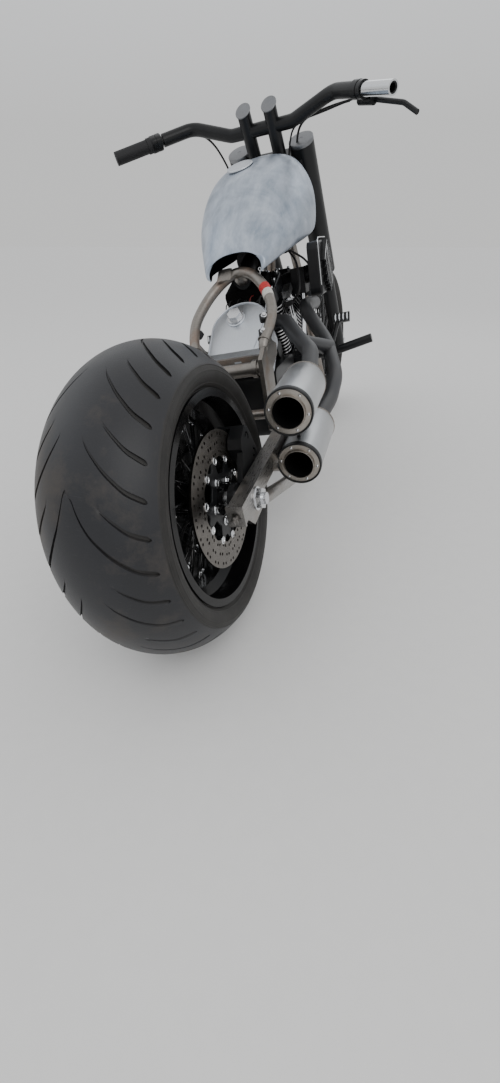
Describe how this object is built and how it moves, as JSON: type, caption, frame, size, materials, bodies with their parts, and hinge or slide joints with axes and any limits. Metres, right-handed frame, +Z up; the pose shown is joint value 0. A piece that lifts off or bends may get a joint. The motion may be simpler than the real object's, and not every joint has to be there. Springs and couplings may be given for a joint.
{
  "type": "chopper motorcycle",
  "caption": "Chopper motorcycle with a very wide rear tyre, raked wide fork, V-twin engine, raw metal tanks and stacked open pipes, leaning on its side stand.",
  "frame": {"origin": "middle of the parked machine's box, on the floor", "axes": "+Z up, +Y forward, +X to the rider's right; the machine leans left, towards -X, onto its side stand"},
  "size_m": [1.0186, 2.3971, 1.1861],
  "materials": {
    "belt_rubber": "matte",
    "black_gloss": "gloss",
    "black_satin": "satin",
    "can_alloy": "satin",
    "chrome": "polished",
    "disc_steel": "machined",
    "grip_rubber": "matte",
    "lamp_glass": "clear",
    "oil_alloy": "brushed",
    "raw_steel": "brushed",
    "tank_steel": "brushed",
    "tyre": "satin rubber"
  },
  "bodies": {
    "chassis": {"air_cleaner": "black_satin", "backbone": "raw_steel", "cam_cover": "black_satin", "can_bracket": "black_satin", "carburettor": "black_satin", "cradle_left": "raw_steel", "cradle_right": "raw_steel", "crankcase": "black_satin", "cylinder_front": "black_satin", "cylinder_rear": "black_satin", "drive_belt": "belt_rubber", "foot_controls_left": "black_satin", "foot_controls_right": "black_satin", "fuel_cap": "oil_alloy", "fuel_tank": "tank_steel", "gearbox": "black_satin", "head_front": "black_satin", "head_rear": "black_satin", "header_lower": "black_satin", "header_upper": "black_satin", "muffler_lower": "can_alloy", "muffler_upper": "can_alloy", "oil_cap": "raw_steel", "oil_tank": "oil_alloy", "primary_cover": "black_satin", "pushrod_tubes": "chrome", "rear_axle": "chrome", "rear_caliper": "black_satin", "rear_fork": "raw_steel", "rear_uprights": "raw_steel", "seat_hoop": "raw_steel"},
    "fork": {"brake_lever": "black_satin", "fork_leg_left": "black_satin", "fork_leg_right": "black_satin", "front_axle": "chrome", "front_caliper": "black_satin", "grip_left": "grip_rubber", "handlebar": "black_satin", "headlight": "black_satin", "headlight_glass": "lamp_glass", "lower_yoke": "black_satin", "throttle_sleeve": "chrome", "upper_yoke": "black_satin"},
    "front_wheel": {"front_tyre": "tyre", "front_rim": "black_gloss", "front_disc": "disc_steel"},
    "rear_wheel": {"rear_tyre": "tyre", "rear_rim": "black_gloss", "rear_disc": "disc_steel", "rear_pulley": "chrome"},
    "side_stand": {"side_stand": "raw_steel"}
  },
  "joints": [
    {"name": "rear_wheel_spin", "type": "hinge", "parent": "chassis", "child": "rear_wheel", "pos_m": [0.14286, -0.86856, 0.32681], "axis": [0.9816, 0, 0.1908], "continuous": true},
    {"name": "steering", "type": "hinge", "parent": "chassis", "child": "fork", "pos_m": [0.02804, 0.43694, 0.91748], "axis": [-0.1618, -0.5299, 0.8325], "range_deg": [-23, 41]},
    {"name": "front_wheel_spin", "type": "hinge", "parent": "fork", "child": "front_wheel", "pos_m": [0.14684, 0.85596, 0.34344], "axis": [0.9854, -0.1327, 0.1071], "continuous": true},
    {"name": "side_stand_fold", "type": "hinge", "parent": "chassis", "child": "side_stand", "pos_m": [0.03007, -0.01856, 0.14189], "axis": [0.8947, 0.4435, -0.0524], "range_deg": [-129.4, 0]}
  ]
}
